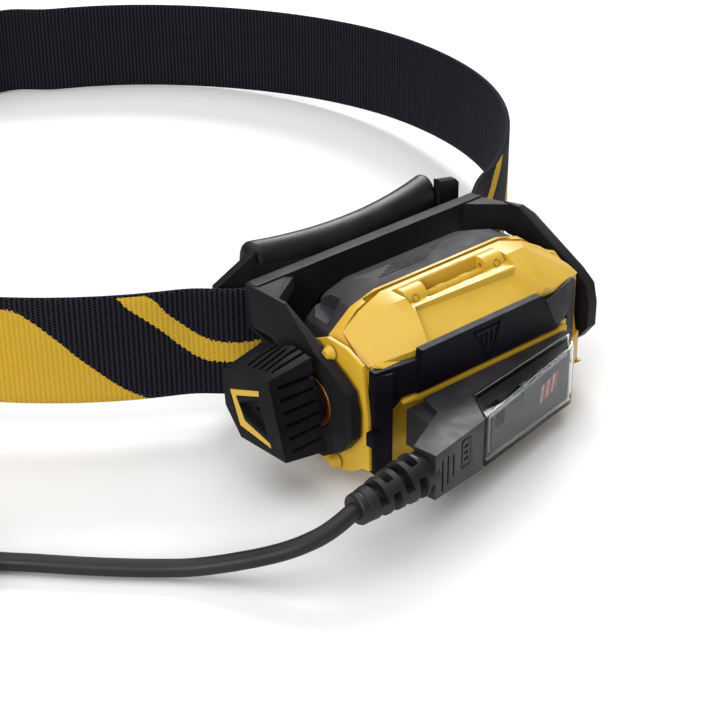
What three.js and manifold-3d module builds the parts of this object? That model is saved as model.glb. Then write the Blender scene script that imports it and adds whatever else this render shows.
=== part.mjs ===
// Rechargeable head-mounted miner's lamp, folded against its headband cradle, with its charging lead docked.
// Millimetres. X runs along the tilt axis (mode knob at -X), -Y is the battery side, +Z is up.
import * as THREE from 'three';
import { ConvexGeometry } from 'three/addons/geometries/ConvexGeometry.js';
import { mergeVertices } from 'three/addons/utils/BufferGeometryUtils.js';
import Module from 'manifold-3d';

const wasm = await Module();
wasm.setup();

// Driving dimensions
const GAP = 0.3;               // clearance between touching pieces
const TILT = { y: -1.5, z: 17 };        // tilt axis, shared by the mode knob
const BODY = { half: 31.2, top: 35, front: -15.6, back: 0.3, wall: 2.6 };
const CAP = { inner: 31.5, outer: 32.4, bump: 32.9 };
const ARM = { inner: 33.3, outer: 35.9 };
const PLATE = { front: 18.2, back: 20.9, top: 34.2, bottom: 5 };
const BEZEL = { front: 0.6, back: 10.6 };
const COVER_HINGE = { y: -1.6, z: 33.9, r: 0.8, x0: -11, x1: 16 };
const LATCH = { front: -17.6, back: -15.9, hinge: { y: -16.4, z: 27.5 } };
const DOCK = { x0: -27.5, x1: 22.8, z0: 3.8, z1: 18.2, floor: -14.9 };
const KNOB = { base: -38.5, end: -49 };
const STRAP = { width: 25, thick: 1.5, y: 22.1, z: 6.6, radius: 97.5, flat: 33, drop: 6.5 };
const CORD = { r: 1.8, z: 1.9 };
const COIL = { x: -133, y: 16.5, mean: 20, half: 5.6, z0: 0.9, z1: 8.3 };
const CONNECTOR = { top: 18.9, back: -18, left: -34.4, right: 20.5 };
const BOOT = { x0: -34.8, x1: -50.6, y: -31.2, z0: 13.6, z1: 12.3, r0: 5.4, r1: 4 };

// Materials
const material = (color, roughness, metalness = 0) => new THREE.MeshStandardMaterial({ color, roughness, metalness });
const YELLOW = material(0xf2b81e, 0.5);
const BLACK = material(0x1b1b1d, 0.45);
const GREY = material(0x35363a, 0.7);
const RUBBER = material(0x26262a, 0.75);
const WEBBING = material(0x222224, 0.9);
const FOAM = material(0x1d1d1f, 0.95);
const CLEAR = new THREE.MeshStandardMaterial({ color: 0xc8ccd0, roughness: 0.1, transparent: true, opacity: 0.4 });
const METAL = material(0xb8bac0, 0.3, 1);
const BRASS = material(0xc9a24a, 0.35, 1);
const BOARD = material(0x1f5a3a, 0.6);
const CELL = material(0x3a5f9e, 0.4);
const INDICATOR = material(0xb32028, 0.5);

// Geometry and solids
function solid(geometry) {
  const plain = geometry.clone();
  plain.deleteAttribute('normal');
  plain.deleteAttribute('uv');
  const merged = mergeVertices(plain, 1e-4);
  const vertProperties = new Float32Array(merged.attributes.position.array);
  const triVerts = new Uint32Array(merged.index.array);
  return new wasm.Manifold(new wasm.Mesh({ numProp: 3, vertProperties, triVerts }));
}

function geometryOf(manifold) {
  const mesh = manifold.getMesh();
  const geometry = new THREE.BufferGeometry();
  geometry.setAttribute('position', new THREE.BufferAttribute(new Float32Array(mesh.vertProperties), 3));
  geometry.setIndex(new THREE.BufferAttribute(new Uint32Array(mesh.triVerts), 1));
  geometry.computeVertexNormals();
  return geometry;
}

function join(...solids) {
  return solids.reduce((sum, next) => sum.add(next));
}

function cut(base, ...tools) {
  return tools.reduce((left, tool) => left.subtract(tool), base);
}

function block(x0, x1, y0, y1, z0, z1) {
  const geometry = new THREE.BoxGeometry(x1 - x0, y1 - y0, z1 - z0);
  geometry.translate((x0 + x1) / 2, (y0 + y1) / 2, (z0 + z1) / 2);
  return solid(geometry);
}

function hull(points) {
  return solid(new ConvexGeometry(points.map(([x, y, z]) => new THREE.Vector3(x, y, z))));
}

function shapeOf(points, holes = []) {
  const shape = new THREE.Shape(points.map(([u, v]) => new THREE.Vector2(u, v)));
  shape.holes = holes.map((hole) => new THREE.Path(hole.map(([u, v]) => new THREE.Vector2(u, v))));
  return shape;
}

// An outline in Y and Z, from x0 to x1
function extrudeX(points, x0, x1) {
  const geometry = new THREE.ExtrudeGeometry(shapeOf(points), { depth: x1 - x0, bevelEnabled: false });
  const turn = new THREE.Matrix4();
  turn.makeBasis(new THREE.Vector3(0, 1, 0), new THREE.Vector3(0, 0, 1), new THREE.Vector3(1, 0, 0));
  geometry.applyMatrix4(turn);
  geometry.translate(x0, 0, 0);
  return solid(geometry);
}

// An outline in X and Z, from y0 to y1
function extrudeY(points, y0, y1) {
  const geometry = new THREE.ExtrudeGeometry(shapeOf(points), { depth: y1 - y0, bevelEnabled: false });
  geometry.rotateX(Math.PI / 2);
  geometry.translate(0, y1, 0);
  return solid(geometry);
}

// An outline in X and Y, from z0 to z1
function extrudeZ(points, z0, z1) {
  const geometry = new THREE.ExtrudeGeometry(shapeOf(points), { depth: z1 - z0, bevelEnabled: false });
  geometry.translate(0, 0, z0);
  return solid(geometry);
}

function rodX(r, x0, x1, y, z, sides = 24) {
  const geometry = new THREE.CylinderGeometry(r, r, x1 - x0, sides);
  geometry.rotateZ(Math.PI / 2);
  geometry.translate((x0 + x1) / 2, y, z);
  return solid(geometry);
}

function rodY(r, y0, y1, x, z, sides = 20, r1 = r) {
  const geometry = new THREE.CylinderGeometry(r1, r, y1 - y0, sides);
  geometry.translate(x, (y0 + y1) / 2, z);
  return solid(geometry);
}

function dome(r, x, y, z) {
  const geometry = new THREE.SphereGeometry(r, 16, 10);
  geometry.translate(x, y, z);
  return solid(geometry);
}

const mirrorX = (points) => points.map(([x, ...rest]) => [-x, ...rest]);
const bothSides = (points) => [...points, ...mirrorX(points)];

// Front outline of the lamp body in X and Z
function bodyOutline(scale = 1) {
  const half = [[17.5, BODY.top], [24, 33.2], [29.5, 29], [BODY.half, 25], [BODY.half, 7], [27.5, 1.6], [23, 0]];
  const middle = { x: 0, z: 17 };
  const left = mirrorX(half).reverse();
  return [...half, ...left].map(([x, z]) => [middle.x + (x - middle.x) * scale, middle.z + (z - middle.z) * scale]);
}

// Battery cover, as the hull of its faceted outside
const COVER_HALF = [
  [17.5, -5.5, 35.2], [17, -1.2, 34.9], [23.5, -1.9, 33], [28.4, -2.6, 30.4], [30.2, -9.5, 28], [30.2, -12.4, 26.8],
  [22, -14.8, 25.4], [15.5, -15.4, 26], [15.4, -16.8, 29.3],
];

function coverHull(widen = 1, dy = 0, dz = 0) {
  return hull(bothSides(COVER_HALF).map(([x, y, z]) => [x * widen, y + dy, z + dz]));
}

// The cover's outside with clearance all round, and the way up and out that it opens
function coverRoom(clearance) {
  const steps = [[clearance, 0, 0], [0, clearance, 0], [0, 0, clearance]].flatMap((v) => [v, v.map((c) => -c)]);
  steps.push([clearance, -3, 7], [-clearance, -3, 7]);
  return hull(bothSides(COVER_HALF).flatMap((point) => steps.map((step) => point.map((v, i) => v + step[i]))));
}

function batteryCover() {
  const shell = cut(coverHull(), coverHull(0.93, 2.1, -2.4));
  const slot = block(-5.4, 10.6, -3.4, 0, 32, 36);
  const pinBore = rodX(COVER_HINGE.r + GAP, COVER_HINGE.x0 - GAP, COVER_HINGE.x1 + GAP, COVER_HINGE.y, COVER_HINGE.z);
  const trough = hull(bothSides([[13.4, -7.4, 33], [14.8, -16.9, 29.2], [13.9, -6.3, 36.5], [15.6, -16.9, 36]]));
  const latchRoom = block(-24, 24, -20, LATCH.back + GAP, 20, 29.1);
  return cut(shell, slot, pinBore, trough, latchRoom);
}

function lampHousing() {
  const side = [[-12, 0], [0.3, 0], [0.3, 35], [-2.5, 35], [-15.6, 27.4], [-15.6, 3]];
  const outside = extrudeX(side, -BODY.half, BODY.half).intersect(extrudeY(bodyOutline(), BODY.front, BODY.back));
  const cavity = extrudeY(bodyOutline(0.915), -12.9, 2).intersect(block(-30, 30, -13, 3, BODY.wall, 31.6));
  const openTop = hull(bothSides([[26, -12.8, 24], [26, -3.4, 24], [22, -3.4, 34], [22, -12.8, 34]]));
  const hingeRoom = rodX(1.6, -21, 21, COVER_HINGE.y, COVER_HINGE.z);
  const dock = block(DOCK.x0, DOCK.x1, BODY.front - 1, DOCK.floor, DOCK.z0, DOCK.z1);
  const shaftBore = rodX(2.2, -BODY.half - 1, -27, TILT.y, TILT.z);
  const lip = block(-25.5, 21.6, LATCH.front, BODY.front + 0.6, DOCK.z1, 19.5);
  const corner = hull([-1, 36].flatMap((z) => [[23.6, BODY.front - 0.1, z], [32, -12.4, z], [32, -17, z], [23.6, -17, z]]));
  return join(cut(outside, cavity, coverRoom(0.5), openTop, hingeRoom, dock, shaftBore, corner), lip);
}

// Round-bottomed yellow end cap with two detent bumps
function sideCap(sign) {
  const front = sign < 0 ? [[-12.8, 28.2], [-14.6, 16.4], [-15, 5]] : [[-11.2, 27.6], [-12.6, 19.4], [-13.4, 7.4]];
  const outline = [[1.5, 28.5], [-2.5, 30.5], [-8, 30.2], ...front];
  const arc = [];
  for (let i = 0; i <= 10; i += 1) {
    const angle = THREE.MathUtils.degToRad(-132 + i * 15);
    arc.push([-3.6 + 14 * Math.cos(angle), 15.2 + 14.2 * Math.sin(angle)]);
  }
  const x0 = sign < 0 ? -CAP.outer : CAP.inner;
  const disc = extrudeX([...outline, ...arc], x0, x0 + CAP.outer - CAP.inner);
  const bumps = [[-2.6, 26.6], [-4.7, 3]].map(([y, z]) => dome(1.3, sign * (CAP.bump - 1.3), y, z));
  const shaftBore = rodX(2.2, -40, 40, TILT.y, TILT.z);
  return cut(join(disc, ...bumps), shaftBore, block(-CAP.inner, CAP.inner, -20, 20, -5, 40));
}

function frontBezel() {
  const at = (scale, y) => bodyOutline(scale).map(([x, z]) => [x, y, z]);
  const outside = hull([...at(0.985, BEZEL.front), ...at(0.97, 7), ...at(0.9, BEZEL.back)]);
  const window = block(-21, 21, 0, 12, 8, 26);
  const pocket = block(-22.5, 22.5, 0, 10, 6.5, 27.5);
  const boardRoom = block(-26, 26, 0, 2.1, 4, 29);
  return cut(outside, window, pocket, boardRoom);
}

// Inside the lamp, from the bezel back to the battery
const lens = () => block(-22.2, 22.2, 8.6, 9.7, 6.8, 27.2);

function reflector() {
  const body = block(-21.5, 21.5, 4.6, 8.3, 7.5, 26.5);
  const cups = [-10, 10].map((x) => rodY(3, 4, 9, x, TILT.z, 24, 8.4));
  return cut(body, ...cups);
}

const ledBoard = () => block(-21.5, 21.5, 3.4, 4.2, 7.5, 26.5);
const led = (x) => block(x - 1.7, x + 1.7, 4.5, 5.2, TILT.z - 1.7, TILT.z + 1.7);
const heatSink = () => block(-21, 21, 2.2, 3.1, 8, 26);
const controlBoard = () => block(-25.5, 25.5, 1, 1.8, 4.5, 28.5);

function batteryTray() {
  const outside = block(-25, 25, -12.5, -0.6, 3.8, 24.6);
  return cut(outside, block(-24.3, 24.3, -13, -1.6, 4.6, 25));
}

const cell = (x0, x1) => block(x0, x1, -12, -2, 5, 24.4);
const packBoard = () => block(-24, 24, -10.5, -3, 24.8, 25.4);
const contactBlade = (x0) => block(x0, x0 + 0.6, -9, -5, 10, 22);
const chargePad = (x) => block(x - 2, x + 2, DOCK.floor - 0.9, DOCK.floor - GAP, 9.5, 12.5);

// Hollow stub that carries the arm, and the bush pressed in the arm around it
function pivotStub(sign) {
  const [x0, x1] = sign < 0 ? [-36.2, -CAP.outer - GAP] : [CAP.outer + GAP, 36.2];
  return cut(rodX(4.2, x0, x1, TILT.y, TILT.z), rodX(2.2, x0 - 1, x1 + 1, TILT.y, TILT.z));
}

function pivotBush(sign) {
  const [x0, x1] = sign < 0 ? [-ARM.outer, -ARM.inner] : [ARM.inner, ARM.outer];
  return cut(rodX(5.7, x0, x1, TILT.y, TILT.z), rodX(4.5, x0 - 1, x1 + 1, TILT.y, TILT.z));
}

const pivotCap = () => join(rodX(5.2, 36.5, 37.4, TILT.y, TILT.z), rodX(1.9, 33.2, 36.8, TILT.y, TILT.z));

// Black latch that frames the charging dock, with a long leg on the left and a short one on the right
function frontLatch() {
  const outline = [
    [-31.8, 4.2], [-31.8, 27.3], [-21.4, 27.1], [-20.4, 28.9], [13.6, 28.9], [15, 27.3], [23.6, 27.3],
    [24.6, 26.4], [24.6, 13], [22.6, 13], [22.6, 20.2], [-26, 20.2], [-28.2, 19], [-28.2, 4.2],
  ];
  return extrudeY(outline.reverse(), LATCH.front, LATCH.back);
}

// Mode knob
const KNOB_END = [[9.6, 24.8], [-4.1, 27.6], [-9, 11.3], [4.9, 10.9], [9.6, 16.4], [10.1, 22.3]];
const KNOB_BASE = [[10.5, 26.4], [0.6, 29.6], [-4.6, 29.2], [-9.3, 9.8], [4.6, 8.6], [11.4, 17.6]];

function selectorKnob() {
  const end = KNOB_END.map(([y, z]) => [KNOB.end, y, z]);
  const base = KNOB_BASE.map(([y, z]) => [KNOB.base, y, z]);
  const body = hull([...end, ...base]);
  const skirt = rodX(5, KNOB.base - 1, -36.6, TILT.y, TILT.z);
  const recess = hull([[KNOB.end - 1, 4, 21.6], [KNOB.end - 1, -2.6, 22.2], [KNOB.end - 1, -5.2, 14.6],
    [KNOB.end + 1.6, 3.4, 21], [KNOB.end + 1.6, -2.2, 21.6], [KNOB.end + 1.6, -4.2, 15.4]]);
  const screwBore = rodX(1.3, KNOB.end - 1, KNOB.end + 4, TILT.y + 0.9, TILT.z + 1.4, 16);
  const shaftBore = rodX(2.1, -42.3, -36, TILT.y, TILT.z);
  const inlayRoom = knobInlay(GAP);
  return cut(join(body, skirt), recess, screwBore, shaftBore, inlayRoom);
}

// Bent strip let into the knob's end face
function knobInlay(grow = 0) {
  const outer = [[7.2, 23.4], [-3, 25], [-3, 23.9], [5.9, 22.2], [4.6, 15.6], [-6.3, 13.4], [-6.5, 12.3], [5.6, 14.2]];
  const strip = extrudeX(outer.reverse(), KNOB.end + 0.1 - grow * 3, KNOB.end + 0.9 + grow);
  return grow ? strip.translate(0, 0, 0.15).add(strip.translate(0, 0, -0.15)).add(strip.translate(0, 0.2, 0)) : strip;
}

const knobScrew = () => rodX(1, KNOB.end + 1.8, KNOB.end + 3.6, TILT.y + 0.9, TILT.z + 1.4, 16);
const switchShaft = () => rodX(1.8, -42, -29, TILT.y, TILT.z);

// Cradle: back plate with an arched opening, two arms and their corners
const ARM_OUTLINE = [
  [20.9, 34], [8.7, 34.2], [4.5, 32], [-3.9, 27.7], [-9, 25.2], [-12.3, 22.8], [-13.4, 18.5], [-13.4, 12.8],
  [-10.6, 9], [-5, 5.4], [-0.5, 5], [4, 8.5], [6.6, 16], [8, 24], [10.4, 26.3], [20.9, 26.2],
];

function cradleArm(sign) {
  const x0 = sign < 0 ? -ARM.outer : ARM.inner;
  return extrudeX(ARM_OUTLINE.slice().reverse(), x0, x0 + ARM.outer - ARM.inner);
}

function cradleFrame() {
  const half = [[26, 5], [30, 8], [30.5, 20], [35.9, 26.2], [35.9, 32.8], [33.4, PLATE.top]];
  const outline = [...half, ...mirrorX(half).reverse()];
  const plate = extrudeY(outline, PLATE.front, PLATE.back);
  const arch = extrudeY([[-22, 9], [22, 9], [22, 20], [16, 26.5], [-16, 26.5], [-22, 20]], PLATE.front - 1, PLATE.back + 1);
  const corner = (sign) => hull([27, 33.9].flatMap((z) => [
    [sign * 34, 10.5, z], [sign * 34, 19, z], [sign * 25, 19, z], [sign * 35.5, 10.5, z], [sign * 35.5, 19, z]]));
  const bore = rodX(6, -40, 40, TILT.y, TILT.z);
  const whole = join(cut(plate, arch), cradleArm(-1), cradleArm(1), corner(-1), corner(1));
  return cut(whole, bore);
}

// Curved band between two plan offsets, following the forehead
function curvedBand(depth0, depth1, half, radius, steps = 12) {
  const near = [];
  const far = [];
  for (let i = 0; i <= steps; i += 1) {
    const x = -half + (2 * half * i) / steps;
    const bend = radius - Math.sqrt(radius * radius - x * x);
    near.push([x, depth0 + bend]);
    far.push([x, depth1 + bend]);
  }
  return [...near, ...far.reverse()];
}

function padShell() {
  const half = 35;
  const band = extrudeZ(curvedBand(23.4, 25.2, half, 110), 4, 37.5);
  const outline = [[-35, 30], [-26, 36.8], [-10, 35.6], [10, 35.6], [26, 36.8], [35, 30], [35, 10], [28, 4], [-28, 4], [-35, 10]];
  return band.intersect(extrudeY(outline.reverse(), 15, 40));
}

function foreheadPad() {
  const band = extrudeZ(curvedBand(25.5, 29.5, 33.5, 110), 5, 36);
  const outline = [[-33.5, 29], [-25, 35.4], [25, 35.4], [33.5, 29], [33.5, 11], [27, 5.2], [-27, 5.2], [-33.5, 11]];
  return band.intersect(extrudeY(outline.reverse(), 15, 45));
}

// Centre line of the headband: straight behind the plate, round the head, straight at the back
function strapLine(offset) {
  const centreY = STRAP.y + STRAP.radius - 0.5;
  const flatAngle = Math.asin(STRAP.flat / STRAP.radius) * 1.25;
  const points = [];
  const radius = STRAP.radius + offset;
  const steps = 22;
  for (let side = 0; side < 2; side += 1) {
    const start = side === 0 ? -Math.PI / 2 + flatAngle : Math.PI / 2 + flatAngle;
    for (let i = 0; i <= steps; i += 1) {
      const angle = start + ((Math.PI - 2 * flatAngle) * i) / steps;
      points.push([radius * Math.cos(angle), centreY + radius * Math.sin(angle)]);
    }
    const flatY = side === 0 ? centreY + STRAP.radius - 0.5 + offset : STRAP.y - offset;
    const order = side === 0 ? [1, -1] : [-1, 1];
    order.forEach((sign) => points.push([sign * STRAP.flat, flatY]));
  }
  return points;
}

function headband() {
  const outer = shapeOf(strapLine(STRAP.thick / 2), [strapLine(-STRAP.thick / 2).reverse()]);
  const geometry = new THREE.ExtrudeGeometry(outer, { depth: STRAP.width, bevelEnabled: false });
  const position = geometry.attributes.position;
  for (let i = 0; i < position.count; i += 1) {
    const far = THREE.MathUtils.clamp((position.getY(i) - 40) / 150, 0, 1);
    const drop = STRAP.drop * far * far * (3 - 2 * far);
    position.setZ(i, position.getZ(i) + STRAP.z - drop);
  }
  return solid(geometry);
}

// Three-bar slider at the back of the headband
const STRAP_BACK = STRAP.y + 2 * STRAP.radius - 1;

function strapAdjuster() {
  const body = block(-11, 11, STRAP_BACK - 2.6, STRAP_BACK + 2.6, 0.1, 26.6);
  const room = block(-12, 12, STRAP_BACK - 1.15, STRAP_BACK + 1.15, -0.3, 25.5);
  const windows = block(-7.5, 7.5, STRAP_BACK - 4, STRAP_BACK + 4, 4.5, 22);
  const foot = block(-11, 11, STRAP_BACK + 0.2, STRAP_BACK + 2.6, 0.1, 1.6);
  return cut(join(cut(body, room), cut(foot, room)), windows);
}

// Charging connector
const CONNECTOR_PLAN = [[-33.7, -35.1], [-17.2, -32], [17.4, -23.8], [20.5, -19.4], [20.5, -18], [-20.7, -18],
  [-22.4, -23.8], [-34.4, -29.7]];
const WINDOW_PLAN = [[-17.2, -32], [17.4, -23.8], [20.5, -19.4], [-12.1, -23.9]];

// Everything above the connector's sloping underside
function aboveSlope(extra = 0) {
  const points = [];
  [-60, -10].forEach((y) => points.push([-40, y, 9.3 + extra], [22, y, 4.3 + extra], [-40, y, 30], [22, y, 30]));
  return hull(points);
}

function connectorBody() {
  const whole = extrudeZ(CONNECTOR_PLAN, 3, CONNECTOR.top).intersect(aboveSlope());
  const room = [[-18.2, -33.2], [22, -24.5], [22, -18.9], [-12.6, -23.55]];
  const pinBores = [-3, 3].map((x) => rodY(1.1, -21, -17, x, 11, 16));
  return cut(whole, extrudeZ(room, 3, 20), ...pinBores);
}

function connectorWindow() {
  const whole = extrudeZ(WINDOW_PLAN, 3, CONNECTOR.top).intersect(aboveSlope());
  const inner = [[-14.4, -29.8], [15.8, -22.6], [16.6, -21], [-11.6, -24.6]];
  return cut(whole, extrudeZ(inner, 7.6, 20).intersect(aboveSlope(1.2)).intersect(block(-30, 30, -40, -10, 0, 17.6)),
    hull([[-11, -26, 8.5], [14, -22.2, 8.5], [-11, -26, 17], [14, -22.2, 17], [-11, -22, 8.5], [14, -18, 8.5],
      [-11, -22, 17], [14, -18, 17]]));
}

// Upright leaf parallel to the window's front, set back from its inner face
function windowLeaf(x0, x1, z0, z1, depth, thick) {
  const face = (x) => -26.38 + x * 0.24;
  const corners = [[x0, face(x0) + depth], [x1, face(x1) + depth], [x1, face(x1) + depth + thick], [x0, face(x0) + depth + thick]];
  return extrudeZ(corners, z0, z1);
}

const connectorBoard = () => windowLeaf(-8, 11.5, 9.2, 16.4, 0.95, 0.7);
const chargeIndicator = () => windowLeaf(2, 10, 10, 14, 0.3, 0.4);
const contactPin = (x) => rodY(0.8, -20.7, DOCK.floor - 1.3, x, 11, 12);

// Ribbed strain relief, a taper with rings, along a line that falls slightly towards the cord
function strainRelief() {
  const length = BOOT.x0 - BOOT.x1;
  const profile = [new THREE.Vector2(0, 0)];
  const rings = 5;
  for (let i = 0; i < rings; i += 1) {
    const r = THREE.MathUtils.lerp(BOOT.r0, BOOT.r1, i / (rings - 1));
    const start = (length * i) / rings;
    profile.push(new THREE.Vector2(r, start), new THREE.Vector2(r, start + length * 0.12));
    if (i < rings - 1) {
      profile.push(new THREE.Vector2(r - 1, start + length * 0.14), new THREE.Vector2(r - 1, start + length * 0.19));
    }
  }
  profile.push(new THREE.Vector2(BOOT.r1, length), new THREE.Vector2(0, length));
  const geometry = new THREE.LatheGeometry(profile, 16);
  geometry.rotateZ(Math.PI / 2);
  geometry.rotateY(-Math.atan2(BOOT.z0 - BOOT.z1, length));
  geometry.translate(BOOT.x0 - GAP, BOOT.y, BOOT.z0);
  return solid(geometry);
}

// Cord from the strain relief, down to the surface and out to the coil
const CORD_ROUTE = [
  [-51.6, -31.2, 12.1], [-54.2, -31.1, 11.2], [-57.4, -30.5, 9.9], [-60.7, -29.1, 8.6], [-63.9, -26.9, 7.2],
  [-67, -24, 5.8], [-70.2, -20.7, 4.5], [-73.3, -17.3, 3.3], [-76.6, -13.8, 2.4], [-80.4, -9.9, 2], [-85.8, -4.6, 1.9],
  [-91.6, 1.4, 1.9], [-97, 7.4, 1.9], [-102.3, 13.1, 1.9], [-105.6, 16.8, 2.1],
];
const TAIL_ROUTE = [[-156.8, 2.2, 3.1], [-157, -0.6, 3.5], [-157.2, -3.6, 3.9], [-157.3, -6.6, 4.1]];

function cordTube(route, steps) {
  const path = new THREE.CatmullRomCurve3(route.map(([x, y, z]) => new THREE.Vector3(x, y, z)), false, 'centripetal');
  const section = new THREE.Shape();
  for (let i = 0; i < 8; i += 1) {
    const angle = (i * Math.PI) / 4 + Math.PI / 8;
    const point = [CORD.r * Math.cos(angle), CORD.r * Math.sin(angle)];
    if (i === 0) section.moveTo(...point);
    else section.lineTo(...point);
  }
  section.closePath();
  return solid(new THREE.ExtrudeGeometry(section, { steps, bevelEnabled: false, extrudePath: path }));
}

function cordCoil() {
  const r0 = COIL.mean - COIL.half;
  const r1 = COIL.mean + COIL.half;
  const ring = [[r0, COIL.z0], [r1, COIL.z0], [r1, COIL.z1], [r0, COIL.z1], [r0, COIL.z0]];
  const geometry = new THREE.LatheGeometry(ring.map(([r, z]) => new THREE.Vector2(r, z)), 32);
  geometry.rotateX(Math.PI / 2);
  geometry.translate(COIL.x, COIL.y, 0);
  return solid(geometry);
}

// Hook-and-loop tie round the coil
function coilTie() {
  const outside = block(-4, 4, COIL.mean - 7, COIL.mean + 7, 0.1, 9.1);
  const inside = block(-5, 5, COIL.mean - 6.3, COIL.mean + 6.3, 0.6, 8.6);
  return cut(outside, inside).rotate([0, 0, 20]).translate(COIL.x, COIL.y, 0);
}

const plugGrip = () => hull([[-165.2, -9, 0.6], [-149.4, -9, 0.6], [-163, -7, 1], [-151.6, -7, 1], [-165.2, -27, 0.6],
  [-149.4, -27, 0.6], [-165.2, -9, 7.6], [-149.4, -9, 7.6], [-163, -7, 7.2], [-151.6, -7, 7.2], [-165.2, -27, 7.6],
  [-149.4, -27, 7.6], [-160, -26, 0], [-155, -26, 0], [-160, -10, 0], [-155, -10, 0]]);

function plugShell() {
  const outside = block(-163.3, -151.3, -39.3, -27.3, 1.85, 6.35);
  return cut(outside, block(-163, -151.6, -40, -28.3, 2.15, 6.05));
}

const plugTongue = () => block(-162.4, -152.2, -38.8, -28.6, 2.5, 4.2);

// Assembly
const standing = new THREE.Group();
const lead = new THREE.Group();

function addTo(group, name, manifold, look) {
  const mesh = new THREE.Mesh(geometryOf(manifold), look);
  mesh.name = name;
  group.add(mesh);
}

function sideName(stem, sign) {
  return `${stem}_${sign < 0 ? 'left' : 'right'}`;
}

function addLamp() {
  addTo(standing, 'lamp_housing', lampHousing(), YELLOW);
  [-1, 1].forEach((sign) => {
    addTo(standing, sideName('side_cap', sign), sideCap(sign), YELLOW);
    addTo(standing, sideName('pivot_stub', sign), pivotStub(sign), GREY);
  });
  addTo(standing, 'pivot_cap_right', pivotCap(), BLACK);
  addTo(standing, 'front_bezel', frontBezel(), GREY);
  addTo(standing, 'lens', lens(), CLEAR);
  addTo(standing, 'reflector', reflector(), METAL);
  addTo(standing, 'led_board', ledBoard(), BOARD);
  addTo(standing, 'led_flood', led(-10), BRASS);
  addTo(standing, 'led_spot', led(10), BRASS);
  addTo(standing, 'heat_sink', heatSink(), METAL);
  addTo(standing, 'control_board', controlBoard(), BOARD);
  addTo(standing, 'battery_tray', batteryTray(), BLACK);
  addTo(standing, 'battery_cell_left', cell(-24, -0.3), CELL);
  addTo(standing, 'battery_cell_right', cell(0.3, 24), CELL);
  addTo(standing, 'battery_board', packBoard(), BOARD);
  addTo(standing, 'battery_contact_left', contactBlade(-26.7), BRASS);
  addTo(standing, 'battery_contact_right', contactBlade(26.1), BRASS);
  addTo(standing, 'charge_pad_left', chargePad(-3), BRASS);
  addTo(standing, 'charge_pad_right', chargePad(3), BRASS);
  addTo(standing, 'hinge_pin', rodX(COVER_HINGE.r, COVER_HINGE.x0, COVER_HINGE.x1, COVER_HINGE.y, COVER_HINGE.z, 16), METAL);
}

function addMovingPieces() {
  addTo(standing, 'battery_cover', batteryCover(), YELLOW);
  addTo(standing, 'front_latch', frontLatch(), BLACK);
  addTo(standing, 'selector_knob', selectorKnob(), BLACK);
  addTo(standing, 'knob_inlay', knobInlay(), YELLOW);
  addTo(standing, 'knob_screw', knobScrew(), METAL);
  addTo(standing, 'switch_shaft', switchShaft(), METAL);
}

function addCradle() {
  addTo(standing, 'cradle_frame', cradleFrame(), BLACK);
  addTo(standing, 'pivot_bush_left', pivotBush(-1), METAL);
  addTo(standing, 'pivot_bush_right', pivotBush(1), METAL);
  addTo(standing, 'pad_shell', padShell(), BLACK);
  addTo(standing, 'forehead_pad', foreheadPad(), FOAM);
  addTo(standing, 'headband', headband(), WEBBING);
  addTo(standing, 'strap_adjuster', strapAdjuster(), BLACK);
}

function addCharger() {
  addTo(standing, 'connector_body', connectorBody(), GREY);
  addTo(standing, 'connector_window', connectorWindow(), CLEAR);
  addTo(standing, 'connector_board', connectorBoard(), BOARD);
  addTo(standing, 'charge_indicator', chargeIndicator(), INDICATOR);
  addTo(standing, 'contact_pin_left', contactPin(-3), BRASS);
  addTo(standing, 'contact_pin_right', contactPin(3), BRASS);
  addTo(lead, 'strain_relief', strainRelief(), RUBBER);
  addTo(lead, 'cord_lead', cordTube(CORD_ROUTE, 14), RUBBER);
  addTo(lead, 'cord_coil', cordCoil(), RUBBER);
  addTo(lead, 'coil_tie', coilTie(), BLACK);
  addTo(lead, 'cord_tail', cordTube(TAIL_ROUTE, 2), RUBBER);
  addTo(lead, 'plug_grip', plugGrip(), RUBBER);
  addTo(lead, 'plug_shell', plugShell(), METAL);
  addTo(lead, 'plug_tongue', plugTongue(), BLACK);
}

addLamp();
addMovingPieces();
addCradle();
addCharger();

// The origin is under the middle of everything but the loose lead
const bounds = new THREE.Box3().setFromObject(standing);
const centre = bounds.getCenter(new THREE.Vector3());
const capLamp = new THREE.Group();
capLamp.add(standing, lead);
capLamp.position.set(-centre.x, -centre.y, -bounds.min.z);

export default capLamp;
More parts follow.
